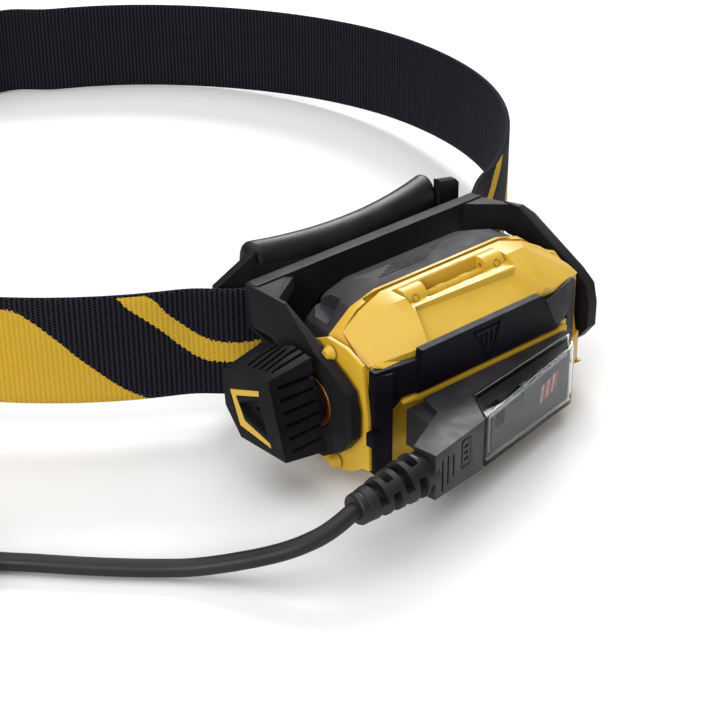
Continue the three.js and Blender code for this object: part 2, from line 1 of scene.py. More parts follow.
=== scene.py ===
import math
import bmesh
import bpy
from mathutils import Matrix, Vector


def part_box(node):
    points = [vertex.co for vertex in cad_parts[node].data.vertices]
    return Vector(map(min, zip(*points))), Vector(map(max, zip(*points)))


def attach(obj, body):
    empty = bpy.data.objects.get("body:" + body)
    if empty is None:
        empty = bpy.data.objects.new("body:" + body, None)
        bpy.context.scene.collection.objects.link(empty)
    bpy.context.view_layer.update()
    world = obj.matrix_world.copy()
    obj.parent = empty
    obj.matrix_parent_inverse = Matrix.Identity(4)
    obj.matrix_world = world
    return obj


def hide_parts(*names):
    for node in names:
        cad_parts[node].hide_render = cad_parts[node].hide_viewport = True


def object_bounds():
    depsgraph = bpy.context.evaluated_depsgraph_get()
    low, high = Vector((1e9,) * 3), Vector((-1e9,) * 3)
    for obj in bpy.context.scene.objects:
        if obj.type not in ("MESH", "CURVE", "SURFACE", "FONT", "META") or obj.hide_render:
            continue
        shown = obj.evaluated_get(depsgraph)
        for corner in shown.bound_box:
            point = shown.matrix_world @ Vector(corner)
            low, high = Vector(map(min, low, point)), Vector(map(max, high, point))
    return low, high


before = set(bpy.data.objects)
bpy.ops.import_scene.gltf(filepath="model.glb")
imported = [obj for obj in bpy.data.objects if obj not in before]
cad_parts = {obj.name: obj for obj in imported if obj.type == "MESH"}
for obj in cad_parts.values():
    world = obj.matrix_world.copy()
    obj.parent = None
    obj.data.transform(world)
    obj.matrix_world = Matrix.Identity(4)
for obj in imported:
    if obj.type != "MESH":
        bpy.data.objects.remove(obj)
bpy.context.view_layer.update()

MM = 0.001

# The measures below are in millimetres, in axes that have the tilt axis at this Y and Z
TILT_Y = -1.5
TILT_Z = 17


def home():
    """Where the frame has the zero of those axes."""
    low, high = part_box("pivot_stub_left")
    return Vector((0, (low[1] + high[1]) / 2 - TILT_Y * MM, (low[2] + high[2]) / 2 - TILT_Z * MM))


HOME = home()


def at(x, y, z):
    return HOME + Vector((x, y, z)) * MM


# Camera, at the photograph's angle
CAMERA_SPOT = (-246.75, -250.24, 214.5)
CAMERA_TURN = (60, 0, -42)
LENS = 95.15


def add_camera():
    data = bpy.data.cameras.new("camera")
    data.lens = LENS
    data.sensor_width = 36
    data.clip_start = 0.01
    camera = bpy.data.objects.new("camera", data)
    camera.location = at(*CAMERA_SPOT)
    camera.rotation_euler = [math.radians(angle) for angle in CAMERA_TURN]
    bpy.context.collection.objects.link(camera)
    bpy.context.scene.camera = camera


# Charging lead: along the floor to a tied coil of two layers of three rings, then to its plug
CORD_RADIUS = 1.8
LEAD_ROUTE = [
    (-48.6, -31.2, 12.45), (-51.6, -31.2, 12.1), (-54.2, -31.1, 11.2), (-57.4, -30.5, 9.9),
    (-60.7, -29.1, 8.6), (-63.9, -26.9, 7.2), (-67, -24, 5.8), (-70.2, -20.7, 4.5),
    (-73.3, -17.3, 3.3), (-76.6, -13.8, 2.4), (-80.4, -9.9, 2), (-85.8, -4.6, 1.9),
    (-91.6, 1.4, 1.9), (-97, 7.4, 1.9), (-102, 12.8, 1.9), (-106, 17.6, 1.9), (-109, 22, 1.9),
]
TAIL_ROUTE = [
    (-156.9, 8.6, 4.3), (-156.8, 2.2, 3.7), (-157, -0.6, 3.7), (-157.2, -3.6, 3.9), (-157.3, -7.4, 4.1),
]
COIL_X = -133
COIL_Y = 16.5
COIL_OUTER = 23.7
COIL_BOTTOM = 1.9
COIL_RINGS = 3
COIL_PITCH = 3.8
COIL_LAYER = 3.7
COIL_START = 30
COIL_TURNS = 5.4167
COIL_STEPS = 18
# Share of a turn after which the cord steps over to its next ring
RING_STEP = 0.72
# The cord rises over the tie, and comes down again over its last part of a turn
TIE_ANGLE = 110
TIE_SPREAD = 55
TIE_LIFT = 0.85
LAST_PART = 0.22
LAST_DROP = 1.2


def smooth(t):
    t = min(max(t, 0), 1)
    return t * t * (3 - 2 * t)


def coil_ring(turn):
    """Radius and layer at a turn: rings inwards, then as many outwards on top of them."""
    whole = math.floor(turn + 1e-6)
    step = smooth((turn - whole - RING_STEP) / (1 - RING_STEP))
    last = COIL_RINGS - 1
    if turn < COIL_RINGS:
        inwards = whole + (step if whole < last else 0)
        return COIL_OUTER - COIL_PITCH * inwards, step if whole == last else 0
    outwards = whole - COIL_RINGS + (step if whole < COIL_RINGS + last else 0)
    return COIL_OUTER - COIL_PITCH * (last - outwards), 1


def coil_points():
    points = []
    for i in range(int(COIL_TURNS * COIL_STEPS) + 1):
        turn = i / COIL_STEPS
        radius, layer = coil_ring(turn)
        angle = COIL_START + 360 * turn
        from_tie = abs((angle - TIE_ANGLE + 180) % 360 - 180)
        lift = TIE_LIFT * smooth(1 - from_tie / TIE_SPREAD)
        drop = LAST_DROP * smooth((turn - COIL_TURNS + LAST_PART) / LAST_PART)
        z = COIL_BOTTOM + lift + COIL_LAYER * layer - drop
        turned = math.radians(angle)
        points.append((COIL_X + radius * math.cos(turned), COIL_Y + radius * math.sin(turned), z))
    return points


def charging_lead(material):
    route = LEAD_ROUTE + coil_points() + TAIL_ROUTE
    data = bpy.data.curves.new("charging_lead", "CURVE")
    data.dimensions = "3D"
    data.bevel_depth = CORD_RADIUS * MM
    data.bevel_resolution = 5
    data.resolution_u = 5
    data.use_fill_caps = True
    spline = data.splines.new("BEZIER")
    spline.bezier_points.add(len(route) - 1)
    for bezier, point in zip(spline.bezier_points, route):
        bezier.co = at(*point)
        bezier.handle_left_type = "AUTO"
        bezier.handle_right_type = "AUTO"
    cord = bpy.data.objects.new("charging_lead", data)
    bpy.context.collection.objects.link(cord)
    data.materials.append(material)
    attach(cord, "charger")
    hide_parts("cord_lead", "cord_coil", "cord_tail")
    return cord


# Materials
def nodes_of(name):
    material = bpy.data.materials.new(name)
    material.use_nodes = True
    tree = material.node_tree
    shader = tree.nodes["Principled BSDF"]
    return material, tree, shader


def add_node(tree, kind, **values):
    made = tree.nodes.new(kind)
    for key, value in values.items():
        if key in made.inputs:
            made.inputs[key].default_value = value
        else:
            setattr(made, key, value)
    return made


def noise(tree, scale, detail=4, rough=0.55):
    place = add_node(tree, "ShaderNodeTexCoord")
    made = add_node(tree, "ShaderNodeTexNoise", Scale=scale, Detail=detail, Roughness=rough)
    tree.links.new(place.outputs["Object"], made.inputs["Vector"])
    return made.outputs["Fac"]


def span(tree, value, low, high, from_low=0.35, from_high=0.65):
    made = add_node(tree, "ShaderNodeMapRange")
    made.inputs["From Min"].default_value = from_low
    made.inputs["From Max"].default_value = from_high
    made.inputs["To Min"].default_value = low
    made.inputs["To Max"].default_value = high
    tree.links.new(value, made.inputs["Value"])
    return made.outputs["Result"]


def blend_colors(tree, factor, first, second):
    made = tree.nodes.new("ShaderNodeMix")
    made.data_type = "RGBA"
    tree.links.new(factor, made.inputs[0])
    for index, value in ((6, first), (7, second)):
        if isinstance(value, tuple):
            made.inputs[index].default_value = (*value, 1)
        else:
            tree.links.new(value, made.inputs[index])
    return made.outputs[2]


def bump(tree, shader, height, strength, distance):
    made = add_node(tree, "ShaderNodeBump", Strength=strength, Distance=distance)
    tree.links.new(height, made.inputs["Height"])
    tree.links.new(made.outputs["Normal"], shader.inputs["Normal"])


def moulded(name, color, worn, rough, grain=2600, strength=0.12, specular=0.5):
    """Moulded plastic: a fine grain, slow variation of colour and gloss."""
    material, tree, shader = nodes_of(name)
    slow = noise(tree, 60, 3)
    fine = noise(tree, grain, 2, 0.6)
    tint = blend_colors(tree, span(tree, slow, 0, 1), color, worn)
    tree.links.new(tint, shader.inputs["Base Color"])
    tree.links.new(span(tree, noise(tree, 240, 4), rough[0], rough[1]), shader.inputs["Roughness"])
    shader.inputs["Specular IOR Level"].default_value = specular
    bump(tree, shader, fine, strength, 0.00005)
    return material


def metal(name, color, rough):
    material, tree, shader = nodes_of(name)
    slow = noise(tree, 300, 4)
    darker = tuple(c * 0.82 for c in color)
    tint = blend_colors(tree, span(tree, slow, 0, 1), color, darker)
    tree.links.new(tint, shader.inputs["Base Color"])
    shader.inputs["Metallic"].default_value = 1
    tree.links.new(span(tree, slow, rough, rough + 0.15), shader.inputs["Roughness"])
    return material


def clear_plastic(name, tint, rough, ior=1.49):
    material, tree, shader = nodes_of(name)
    shader.inputs["Base Color"].default_value = (*tint, 1)
    shader.inputs["Transmission Weight"].default_value = 1
    shader.inputs["IOR"].default_value = ior
    tree.links.new(span(tree, noise(tree, 400, 4), rough, rough + 0.04), shader.inputs["Roughness"])
    return material


# Webbing: its weave, and the boundaries of its printed areas
RIB_PITCH = 1.05
STITCH_PITCH = 0.62
STRAP_WIDTH = 25

# Distance along the strap from its middle, and height on it
STRAP_LOWER = [
    (20, -3), (40, -3), (48, -3), (50.4, -1), (56.5, 2), (65.4, 9.2), (73.9, 17.6), (77.5, 20.6),
    (82, 22.8), (88, 23.2), (112, 23.2), (118, 22), (124, 17), (140, 2), (145, -3), (200, -3),
]
STRAP_STRIPE_TOP = [
    (20, 12.6), (32.5, 12.9), (38, 13.2), (41, 14), (43.3, 15.4), (48.3, 19.6), (55.1, 25.8),
    (58, 26.5), (70, 26.5), (200, 26.5),
]
STRAP_STRIPE_LOW = [
    (20, 8.2), (34, 8.4), (39, 8.5), (42, 9.2), (44.7, 11), (51.5, 17.6), (57.3, 22.6), (61, 26),
    (70, 27.5), (200, 27.5),
]


def math_node(tree, kind, *values, clamp=False):
    made = add_node(tree, "ShaderNodeMath", operation=kind, use_clamp=clamp)
    for index, value in enumerate(values):
        if isinstance(value, (int, float)):
            made.inputs[index].default_value = value
        else:
            tree.links.new(value, made.inputs[index])
    return made.outputs[0]


def curve_node(tree, points, source):
    """A smooth line through the points, as a function of source."""
    low = min(p[0] for p in points)
    high = max(p[0] for p in points)
    bottom = min(p[1] for p in points)
    top = max(max(p[1] for p in points), bottom + 1)
    share = span(tree, source, 0, 1, low, high)
    made = tree.nodes.new("ShaderNodeFloatCurve")
    line = made.mapping.curves[0]
    scaled = [((x - low) / (high - low), (y - bottom) / (top - bottom)) for x, y in points]
    line.points[0].location = scaled[0]
    line.points[-1].location = scaled[-1]
    for spot in scaled[1:-1]:
        line.points.new(*spot)
    for spot in line.points:
        spot.handle_type = "AUTO_CLAMPED"
    made.mapping.update()
    tree.links.new(share, made.inputs["Value"])
    return math_node(tree, "MULTIPLY_ADD", made.outputs[0], top - bottom, bottom)


def wave(tree, turn):
    """A cosine between 0 and 1."""
    return math_node(tree, "MULTIPLY_ADD", math_node(tree, "COSINE", turn), 0.5, 0.5)


def weave_waves(tree, along, across):
    """Ribs across the strap, and stitches along each rib, every other row shifted by half a stitch."""
    rib = wave(tree, math_node(tree, "MULTIPLY", along, 2 * math.pi / RIB_PITCH))
    row = math_node(tree, "FLOOR", math_node(tree, "DIVIDE", along, RIB_PITCH))
    shift = math_node(tree, "MULTIPLY", row, 0.5)
    place = math_node(tree, "ADD", math_node(tree, "DIVIDE", across, STITCH_PITCH), shift)
    return rib, wave(tree, math_node(tree, "MULTIPLY", place, 2 * math.pi))


def printed_yellow(tree, along, across, rib, stitch):
    """1 where the strap is printed yellow, with an edge that follows the stitches."""
    ragged = math_node(tree, "MULTIPLY_ADD", stitch, 0.3, math_node(tree, "MULTIPLY", rib, 0.25))
    level = math_node(tree, "ADD", across, ragged)
    far = math_node(tree, "ABSOLUTE", along)
    in_lower = math_node(tree, "LESS_THAN", level, curve_node(tree, STRAP_LOWER, far))
    under_top = math_node(tree, "LESS_THAN", level, curve_node(tree, STRAP_STRIPE_TOP, far))
    over_low = math_node(tree, "GREATER_THAN", level, curve_node(tree, STRAP_STRIPE_LOW, far))
    in_stripe = math_node(tree, "MULTIPLY", under_top, over_low)
    off_middle = math_node(tree, "ABSOLUTE", math_node(tree, "SUBTRACT", across, STRAP_WIDTH / 2))
    inside_edge = math_node(tree, "LESS_THAN", off_middle, STRAP_WIDTH / 2 - 0.3)
    return math_node(tree, "MULTIPLY", math_node(tree, "MAXIMUM", in_lower, in_stripe), inside_edge)


def woven(name):
    """Webbing: ribs along its width, stitches along each rib, printed in black and yellow."""
    material, tree, shader = nodes_of(name)
    place = add_node(tree, "ShaderNodeUVMap", uv_map="weave")
    axes = tree.nodes.new("ShaderNodeSeparateXYZ")
    tree.links.new(place.outputs["UV"], axes.inputs[0])
    along, across = axes.outputs["X"], axes.outputs["Y"]
    rib, stitch = weave_waves(tree, along, across)
    relief = math_node(tree, "MULTIPLY_ADD", stitch, 0.55, math_node(tree, "MULTIPLY", rib, 0.6))
    height = math_node(tree, "MULTIPLY_ADD", noise(tree, 5200, 2, 0.6), 0.25, relief)
    yellow = printed_yellow(tree, along, across, rib, stitch)
    # Painted shade and painted highlight: the yellow is darker in the weave's hollows and the black lighter
    # on its crests, both following the relief's height
    shade = math_node(tree, "MULTIPLY_ADD", height, 0.45, 0.55, clamp=True)
    gold = blend_colors(tree, shade, (0.14, 0.08, 0.005), (0.58, 0.36, 0.035))
    crest_highlight = math_node(tree, "POWER", shade, 9)
    black = blend_colors(tree, crest_highlight, (0.001, 0.0008, 0.0015), (0.026, 0.024, 0.034))
    tree.links.new(blend_colors(tree, yellow, black, gold), shader.inputs["Base Color"])
    shader.inputs["Roughness"].default_value = 0.72
    shader.inputs["Specular IOR Level"].default_value = 0.04
    shader.inputs["Sheen Weight"].default_value = 0.01
    bump(tree, shader, height, 0.55, 0.00022)
    return material


# Meshes
def to_object(name, body):
    mesh = bpy.data.meshes.new(name)
    bmesh.ops.recalc_face_normals(body, faces=body.faces)
    body.to_mesh(mesh)
    body.free()
    made = bpy.data.objects.new(name, mesh)
    bpy.context.collection.objects.link(made)
    return made


def hull(name, points):
    """The smallest convex block around the points."""
    body = bmesh.new()
    for point in points:
        body.verts.new(at(*point))
    bmesh.ops.convex_hull(body, input=body.verts)
    loose = [v for v in body.verts if not v.link_faces]
    bmesh.ops.delete(body, geom=loose, context="VERTS")
    bmesh.ops.dissolve_limit(body, angle_limit=0.02, verts=body.verts, edges=body.edges)
    return to_object(name, body)


def box(x0, x1, y0, y1, z0, z1):
    return hull("box", [(x, y, z) for x in (x0, x1) for y in (y0, y1) for z in (z0, z1)])


def upright(name, plan, low, high):
    """A convex block with an outline in X and Y, between two heights."""
    return hull(name, [(x, y, z) for x, y in plan for z in (low, high)])


def fronted(name, outline, near, far):
    """A convex block with an outline in X and Z, between two Y."""
    return hull(name, [(x, y, z) for x, z in outline for y in (near, far)])


def join_rings(body, rings):
    """Faces between closed rings, and one on each end."""
    body.faces.new(rings[0])
    body.faces.new(list(reversed(rings[-1])))
    for near, far in zip(rings, rings[1:]):
        for i in range(len(near)):
            j = (i + 1) % len(near)
            body.faces.new((near[i], near[j], far[j], far[i]))


def prism(name, outline, low, high, axis):
    """An outline run from low to high along one axis. Its two coordinates are the other axes, in order."""
    body = bmesh.new()
    rings = []
    for depth in (low, high):
        ring = []
        for point in outline:
            values = list(point)
            values.insert("XYZ".index(axis), depth)
            ring.append(body.verts.new(at(*values)))
        rings.append(ring)
    join_rings(body, rings)
    return to_object(name, body)


def ring_about(body, start, end, depth, r, angles):
    """Vertices of an arc about the line from start to end, at a depth along it."""
    turn = Vector((0, 0, 1)).rotation_difference(end - start)
    made = []
    for angle in angles:
        turned = math.radians(angle)
        spot = start + turn @ Vector((r * math.cos(turned), r * math.sin(turned), depth))
        made.append(body.verts.new(at(*spot)))
    return made


def full_turn(sides):
    return [360 * i / sides for i in range(sides)]


def rod(r, start, end, sides=32, r_end=None):
    """A round bar from start to end, which may taper."""
    start, end = Vector(start), Vector(end)
    body = bmesh.new()
    angles = full_turn(sides)
    near = ring_about(body, start, end, 0, r, angles)
    far = ring_about(body, start, end, (end - start).length, r if r_end is None else r_end, angles)
    join_rings(body, [near, far])
    return to_object("rod", body)


def bake(made):
    """Apply every modifier to the mesh."""
    graph = bpy.context.evaluated_depsgraph_get()
    mesh = bpy.data.meshes.new_from_object(made.evaluated_get(graph))
    made.modifiers.clear()
    old = made.data
    made.data = mesh
    bpy.data.meshes.remove(old)


def combine(made, tools, operation="DIFFERENCE"):
    """Cut the tools out of a piece, or join them to it. The tools are used up."""
    for tool in tools:
        modifier = made.modifiers.new("cut", "BOOLEAN")
        modifier.operation = operation
        modifier.solver = "EXACT"
        modifier.object = tool
    bake(made)
    for tool in tools:
        bpy.data.objects.remove(tool)
    body = bmesh.new()
    body.from_mesh(made.data)
    bmesh.ops.remove_doubles(body, verts=body.verts, dist=3e-6)
    bmesh.ops.dissolve_limit(body, angle_limit=math.radians(1), verts=body.verts, edges=body.edges)
    body.to_mesh(made.data)
    body.free()


def rounded(made, width=0.35, segments=3, angle=24):
    modifier = made.modifiers.new("edge", "BEVEL")
    modifier.width = width * MM
    modifier.segments = segments
    modifier.limit_method = "ANGLE"
    modifier.angle_limit = math.radians(angle)
    modifier.harden_normals = True
    modifier.use_clamp_overlap = True
    made.data.shade_smooth()
    bake(made)


def put(made, name, material, body, slot, *replaced):
    """Name a finished piece, and say what it rides on and replaces."""
    made.name = name
    made.data.name = name
    made.data.materials.clear()
    made.data.materials.append(material)
    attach(made, body)
    if replaced:
        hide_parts(*replaced)


def from_cad(node, cuts=(), adds=()):
    """A copy of a CAD node's mesh, with blocks added and cut out."""
    body = bmesh.new()
    body.from_mesh(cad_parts[node].data)
    bmesh.ops.remove_doubles(body, verts=body.verts, dist=2e-6)
    bmesh.ops.dissolve_limit(body, angle_limit=math.radians(2), verts=body.verts, edges=body.edges)
    made = to_object("look_" + node, body)
    if adds:
        combine(made, adds, "UNION")
    if cuts:
        combine(made, cuts)
    return made


def refined(node, material, body, slot, width=0.35, segments=3, cuts=(), adds=(), angle=24):
    """A CAD node's look: its own mesh with rounded edges."""
    made = from_cad(node, cuts, adds)
    rounded(made, width, segments, angle)
    put(made, "look_" + node, material, body, slot, node)


# Headband
STRAP_FRONT = 22.1
STRAP_RADIUS = 97.5
STRAP_FLAT = 33
STRAP_BOTTOM = 6.6
STRAP_DROP = 6.5
STRAP_HALF = 0.72
# Added to the distance along the strap on its inner side: a whole number of ribs, past all the printing
STRAP_INSIDE = 1000 * RIB_PITCH


def straight(start, end, count):
    start, end = Vector(start), Vector(end)
    return [start + (end - start) * i / count for i in range(count)]


def bow(centre, first, last, count):
    """Points of an arc about (0, centre), between two angles."""
    angles = [first + (last - first) * i / count for i in range(count)]
    return [Vector((STRAP_RADIUS * math.cos(a), centre + STRAP_RADIUS * math.sin(a))) for a in angles]


def strap_line():
    """The closed band's middle, seen from above: flat at the front and back, round at the sides."""
    centre = STRAP_FRONT + STRAP_RADIUS - 0.5
    back = centre + STRAP_RADIUS - 0.5
    turn = math.asin(STRAP_FLAT / STRAP_RADIUS) * 1.25
    quarter = math.pi / 2
    first = bow(centre, turn - quarter, quarter, 1)[0]
    behind = 2 * centre - first.y
    line = straight((0, STRAP_FRONT), (STRAP_FLAT, STRAP_FRONT), 12)
    line += straight((STRAP_FLAT, STRAP_FRONT), first, 5)
    line += bow(centre, turn - quarter, quarter - turn, 130)
    line += straight((first.x, behind), (STRAP_FLAT, back), 5)
    line += straight((STRAP_FLAT, back), (-STRAP_FLAT, back), 20)
    line += straight((-STRAP_FLAT, back), (-first.x, behind), 5)
    line += bow(centre, quarter + turn, 3 * quarter - turn, 130)
    line += straight((-first.x, first.y), (-STRAP_FLAT, STRAP_FRONT), 5)
    line += straight((-STRAP_FLAT, STRAP_FRONT), (0, STRAP_FRONT), 12)
    return softened(bulged(line))


def bulged(line):
    """The right side stands out a little where it leaves the cradle."""
    out = Vector((0.72, -0.69)) * 2.6
    made = []
    for spot in line:
        beside = spot.x > STRAP_FLAT and spot.y < 110
        share = smooth((spot.y - 22) / 14) * smooth((110 - spot.y) / 60) if beside else 0
        made.append(spot + out * share)
    return made


def softened(line):
    for _ in range(4):
        line = [(line[i - 1] + line[i] * 2 + line[(i + 1) % len(line)]) / 4 for i in range(len(line))]
    return line


def strap_section():
    """Height and depth of the band's outline, with softened edges."""
    edge, steps = 0.35, 12
    heights = [edge + (STRAP_WIDTH - 2 * edge) * i / steps for i in range(steps + 1)]
    outside = [(height, STRAP_HALF) for height in heights]
    inside = [(height, -STRAP_HALF) for height in reversed(heights)]
    return outside + [(STRAP_WIDTH, 0.2), (STRAP_WIDTH, -0.2)] + inside + [(0, -0.2), (0, 0.2)]


def strap_ring(body, spot, ahead, section):
    outward = Vector((ahead.y, -ahead.x)).normalized()
    drop = STRAP_DROP * smooth((spot.y - 40) / 150)
    made = []
    for height, depth in section:
        place = spot + outward * depth
        made.append(body.verts.new(at(place.x, place.y, STRAP_BOTTOM - drop + height)))
    return made


def strap_faces(body, layer, section, rings, ends):
    """Faces between two rings. Their UV is the distance along the strap and the height on it."""
    (near, far), (start, end) = rings, ends
    for k in range(len(section)):
        m = (k + 1) % len(section)
        face = body.faces.new((near[k], far[k], far[m], near[m]))
        inside = STRAP_INSIDE if section[k][1] + section[m][1] < 0 else 0
        corners = ((start, k), (end, k), (end, m), (start, m))
        for loop, (along, corner) in zip(face.loops, corners):
            loop[layer].uv = (along + inside, section[corner][0])


def headband(material):
    line = strap_line()
    count = len(line)
    lengths = [0]
    for i in range(count):
        lengths.append(lengths[-1] + (line[(i + 1) % count] - line[i]).length)
    total = lengths[-1]
    section = strap_section()
    body = bmesh.new()
    layer = body.loops.layers.uv.new("weave")
    rings = [strap_ring(body, line[i], line[(i + 1) % count] - line[i - 1], section) for i in range(count)]
    for i in range(count):
        start, end = lengths[i], lengths[i + 1]
        if start >= total / 2:
            start, end = start - total, end - total
        strap_faces(body, layer, section, (rings[i], rings[(i + 1) % count]), (start, end))
    made = to_object("headband_webbing", body)
    made.data.shade_smooth()
    put(made, "headband_webbing", material, "cradle", "webbing", "headband")


# Charging connector's strain relief: a tapered boot with bridged grooves, ending in a collar
BOOT_START = Vector((-32.2, -31.2, 13.79))
BOOT_END = Vector((-50.9, -31.2, 12.3))
# Distance along the boot, and radius there
BOOT_PROFILE = [
    (0, 0.01), (0, 4), (2.8, 4), (3.1, 4.6), (3.5, 4.7), (8, 4.35), (13.2, 3.8), (14, 3.65), (16.8, 3.3),
    (16.9, 3.1), (17.3, 3.1), (17.4, 3.3), (18.4, 3.2), (18.7, 2.95), (18.75, 1.95),
]
# Each groove's place along the boot, and the angle of its first bridge
BOOT_GROOVES = [(4.9, 20), (8, -35), (11.1, 20), (14, -35)]
GROOVE_SPAN = 144
GROOVE_STEPS = 16


def groove_arc(z, first):
    """A sector of a ring, narrower at its bottom, to be cut out of the boot."""
    body = bmesh.new()
    angles = [first + GROOVE_SPAN * i / GROOVE_STEPS for i in range(GROOVE_STEPS + 1)]
    inner = 2.9 - z * 0.05
    corners = ((inner, z - 0.8), (7, z - 1.15), (7, z + 1.15), (inner, z + 0.8))
    rows = [ring_about(body, BOOT_START, BOOT_END, depth, r, angles) for r, depth in corners]
    for k, near in enumerate(rows):
        far = rows[(k + 1) % len(rows)]
        for i in range(GROOVE_STEPS):
            body.faces.new((near[i], near[i + 1], far[i + 1], far[i]))
    body.faces.new([row[0] for row in rows])
    body.faces.new([row[-1] for row in rows])
    return to_object("arc", body)


def strain_relief(material):
    body = bmesh.new()
    rings = [ring_about(body, BOOT_START, BOOT_END, z, r, full_turn(48)) for z, r in BOOT_PROFILE]
    join_rings(body, rings)
    made = to_object("boot", body)
    combine(made, [groove_arc(z, bridge + side) for z, bridge in BOOT_GROOVES for side in (-46, 134)])
    rounded(made, 0.28, 3, 28)
    put(made, "look_strain_relief", material, "charger", "cord_jacket", "strain_relief")


# Mode knob: a six-sided grip with grooves on two sides, and a bent yellow strip let into its end
KNOB_END = [(9.6, 24.8), (-4.1, 27.6), (-9, 11.3), (4.9, 10.9), (9.6, 16.4), (10.1, 22.3)]
KNOB_BASE = [(10.5, 26.4), (0.6, 29.6), (-4.6, 29.2), (-9.3, 9.8), (4.6, 8.6), (11.4, 17.6)]
KNOB_STRIP = [
    (-1, 24.1), (8.2, 20.6), (5.2, 13.4), (-4.6, 12.4), (-4.1, 13.5), (3.6, 15.3), (6.2, 19.9), (-1.1, 22.8),
]
KNOB_STRIP_GAP = 0.12


def area_of(outline):
    total = 0
    for i, point in enumerate(outline):
        after = outline[(i + 1) % len(outline)]
        total += point[0] * after[1] - after[0] * point[1]
    return total


def widened(outline, by):
    """The outline with every corner moved outwards."""
    outwards = -1 if area_of(outline) > 0 else 1
    made = []
    for i, point in enumerate(outline):
        back = (Vector(point) - Vector(outline[i - 1])).normalized()
        ahead = (Vector(outline[(i + 1) % len(outline)]) - Vector(point)).normalized()
        side = Vector((-(back + ahead).y, (back + ahead).x)).normalized() * outwards
        made.append(tuple(Vector(point) + side * by))
    return made


def front_groove(i):
    """One of six grooves up the knob's front side, wider at the mouth."""
    t = (i + 0.5) / 6
    y, z = -9.25 + 4.9 * t, 11.8 + 15.4 * t
    mouth = [(x, y - 1.2, z + d) for x in (-47.6, -37.5) for d in (-0.85, 0.35)]
    bottom = [(x, y + 0.75, z + d) for x in (-46.8, -37.5) for d in (-0.6, 0.05)]
    return hull("groove", mouth + bottom)


def top_groove(i):
    """One of five shorter grooves over the knob's top."""
    t = (i + 0.6) / 6.5
    y, z = -3.4 + 12 * t, 28.4 - 2.9 * t
    mouth = [(x, y + d, z + up) for x, up in ((-46.6, 1.6), (-37.5, 1.9)) for d in (-0.5, 0.35)]
    bottom = [(x, y + d, z + up) for x, up in ((-46.6, -0.75), (-37.5, 0.1)) for d in (-0.4, 0.2)]
    return hull("groove", mouth + bottom)


def mode_knob(material):
    made = hull("knob", [(-49, y, z) for y, z in KNOB_END] + [(-38.5, y, z) for y, z in KNOB_BASE])
    grooves = [front_groove(i) for i in range(6)] + [top_groove(i) for i in range(5)]
    recess = hull("recess", [
        (-50, 5.8, 18.9), (-50, -1, 22.5), (-50, -4, 14.3), (-50, 3.2, 16),
        (-47.8, 5, 18.4), (-47.8, -0.8, 21.4), (-47.8, -3.2, 15.2), (-47.8, 3, 16.6)])
    channel = prism("strip", widened(KNOB_STRIP, KNOB_STRIP_GAP), -50, -48.6, "X")
    hole = rod(0.5, (-48.4, 0.6, 18.9), (-46.6, 0.6, 18.9), 20)
    combine(made, grooves + [recess, channel, hole])
    skirt = rod(5, (-39.5, TILT_Y, TILT_Z), (-36.6, TILT_Y, TILT_Z))
    combine(made, [skirt], "UNION")
    rounded(made, 0.3, 3, 26)
    put(made, "look_selector_knob", material, "mode_knob", "black_knob", "selector_knob", "knob_screw")


def knob_strip(material):
    made = prism("strip", KNOB_STRIP, -48.9, -48.3, "X")
    rounded(made, 0.12, 2, 30)
    put(made, "look_knob_inlay", material, "mode_knob", "yellow_inlay", "knob_inlay")


# Bezel: six fine grooves on top, and a step at each corner
def bezel_groove(i):
    y = 3.7 + i * 0.72
    start = -13 + i * 1.5
    section = [(y - 0.28, 36), (y + 0.28, 36), (y - 0.06, 33.9), (y + 0.06, 33.9)]
    return hull("groove", across(section, start, start + 13.5))


def bezel_step(side):
    plan = [(22.8, 4.2), (22.8, 20), (40, 4.2), (40, 20), (26, 3.2), (40, 1.6)]
    return upright("step", [(side * x, y) for x, y in plan], 29.6, 40)


def bezel(material):
    cuts = [bezel_groove(i) for i in range(6)] + [bezel_step(side) for side in (-1, 1)]
    refined("front_bezel", material, "lamp", "grey_rubber", 0.6, 3, cuts=cuts, angle=20)


# Battery cover: faceted shell with a hinge barrel, its slot, and a trough in front
COVER_HALF = [
    (18.6, -6.7, 34.9), (17, -1.2, 34.9), (23.5, -1.9, 33), (28.4, -2.6, 30.4), (30.2, -9.5, 28),
    (30.2, -12.2, 27), (22.4, -14.8, 25.6), (15.5, -15.4, 26), (15.4, -16.8, 29.3),
]
BARREL_Y = -4.3
BARREL_Z = 32.75
PIN_Y = -4.9
PIN_Z = 32.3


def both_sides(points):
    return points + [(-x, y, z) for x, y, z in points]


def across(points, x0, x1):
    """Points of a section in Y and Z, repeated at two X."""
    return [(x, y, z) for y, z in points for x in (x0, x1)]


def pin_head(x, r, start, end):
    """A round head on the barrel, square to its sloping front."""
    ends = [(x, BARREL_Y - 0.92 * out, BARREL_Z + 0.38 * out) for out in (start, end)]
    return rod(r, *ends, 24)


def cover_shell():
    made = hull("cover", both_sides(COVER_HALF))
    inside = hull("inside", [(x * 0.93, y + 2.1, z - 2.4) for x, y, z in both_sides(COVER_HALF)])
    trough = hull("trough", [
        (-14.3, -8.7, 32.3), (12.9, -9.9, 31.6), (-18, -17.4, 27.4), (16, -17.4, 27.2),
        (-15, -8.5, 37), (14.2, -9.6, 37), (-20.5, -17.4, 37), (18.8, -17.4, 37)])
    latch_room = box(-24, 24, -20, -15.75, 20, 29.7)
    ledge = box(-15.2, 13.6, -9.8, -2.4, 33.4, 37)
    combine(made, [inside, latch_room, trough, ledge])
    return made


